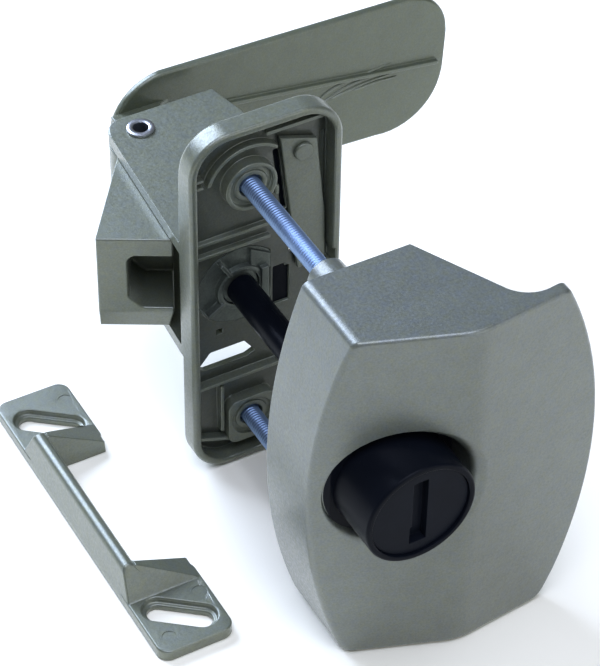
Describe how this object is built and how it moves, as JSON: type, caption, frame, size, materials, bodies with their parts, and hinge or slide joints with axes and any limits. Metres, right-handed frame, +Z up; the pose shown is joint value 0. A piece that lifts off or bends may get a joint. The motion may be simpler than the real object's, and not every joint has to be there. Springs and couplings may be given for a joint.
{
  "type": "entry door latch",
  "caption": "Push-button outside pull handle, inside case with swinging latch bolt and paddle lever, and a separate strike for a thin door.",
  "frame": {"origin": "middle of the part's box in plan, at the level of the surface that it stands on", "axes": "+X runs along the door from its edge, +Y from outdoors to the room, +Z up"},
  "size_m": [0.1336, 0.1368, 0.0995],
  "materials": {
    "inside_case": "fine metallic bronze-grey paint",
    "pivot_pin": "bright tubular rivet",
    "rod_guide": "dull bluish die casting",
    "night_lock_rivet": "painted over after riveting",
    "mounting_screws": "bluish zinc plating",
    "outside_handle": "fine metallic bronze-grey paint",
    "spring_retainer": "zinc plated sheet",
    "button_spring": "bright spring wire",
    "return_spring": "bright spring wire",
    "strike": "fine metallic bronze-grey paint",
    "latch_bolt": "fine metallic bronze-grey paint",
    "inside_lever": "fine metallic bronze-grey paint",
    "lever_bushes": "natural nylon",
    "push_button": "black, half gloss",
    "lock_plug": "black, half gloss",
    "push_rod": "black",
    "rod_cross_pin": "bright",
    "plug_clip": "zinc plated",
    "plunger": "dull die casting",
    "plunger_clip": "zinc plated",
    "night_lock_lever": "fine metallic bronze-grey paint",
    "night_lock_stem": "fine metallic bronze-grey paint",
    "night_lock_knob": "fine metallic bronze-grey paint",
    "knob_screw": "zinc plated"
  },
  "bodies": {
    "case": {"inside_case": "inside_case", "pivot_pin": "pivot_pin", "rod_guide": "rod_guide", "night_lock_rivet": "night_lock_rivet", "mounting_screws": "mounting_screws", "outside_handle": "outside_handle", "spring_retainer": "spring_retainer", "button_spring": "button_spring", "return_spring": "return_spring", "lever_bushes": "lever_bushes", "strike": "strike"},
    "bolt": {"latch_bolt": "latch_bolt"},
    "lever": {"inside_lever": "inside_lever"},
    "button": {"push_button": "push_button"},
    "plug": {"lock_plug": "lock_plug", "push_rod": "push_rod", "rod_cross_pin": "rod_cross_pin", "plug_clip": "plug_clip"},
    "plunger": {"plunger": "plunger", "plunger_clip": "plunger_clip"},
    "night_lock": {"night_lock_lever": "night_lock_lever", "night_lock_stem": "night_lock_stem", "night_lock_knob": "night_lock_knob", "knob_screw": "knob_screw"}
  },
  "joints": [
    {"name": "lever_pull", "type": "hinge", "parent": "case", "child": "lever", "pos_m": [-0.02335, 0.05435, 0.0517], "axis": [0, 0, 1], "range_deg": [0, 28], "stiffness_Nm_per_rad": 0.3, "springref_deg": -17.19, "deforming": ["return_spring"]},
    {"name": "bolt_swing", "type": "hinge", "parent": "case", "child": "bolt", "pos_m": [-0.02335, 0.05435, 0.0517], "axis": [0, 0, 1], "range_deg": [0, 28]},
    {"name": "button_push", "type": "slide", "parent": "case", "child": "button", "axis": [0, 1, 0], "range_m": [0, 0.0058], "deforming": ["button_spring"]},
    {"name": "plunger_slide", "type": "slide", "parent": "case", "child": "plunger", "axis": [0, 1, 0], "range_m": [0, 0.0058]},
    {"name": "key_turn", "type": "hinge", "parent": "button", "child": "plug", "pos_m": [-0.01985, -0.05135, 0.0517], "axis": [0, 1, 0], "range_deg": [0, 90]},
    {"name": "night_lock_swing", "type": "hinge", "parent": "case", "child": "night_lock", "pos_m": [-0.00465, 0.01165, 0.0861], "axis": [0, 1, 0], "range_deg": [0, 8]}
  ],
  "couplings": [
    {"joint": "bolt_swing", "follows": "lever_pull", "ratio": 1},
    {"joint": "button_push", "follows": "lever_pull", "m_per_rad": 0.011867},
    {"joint": "plunger_slide", "follows": "lever_pull", "m_per_rad": 0.011867}
  ]
}
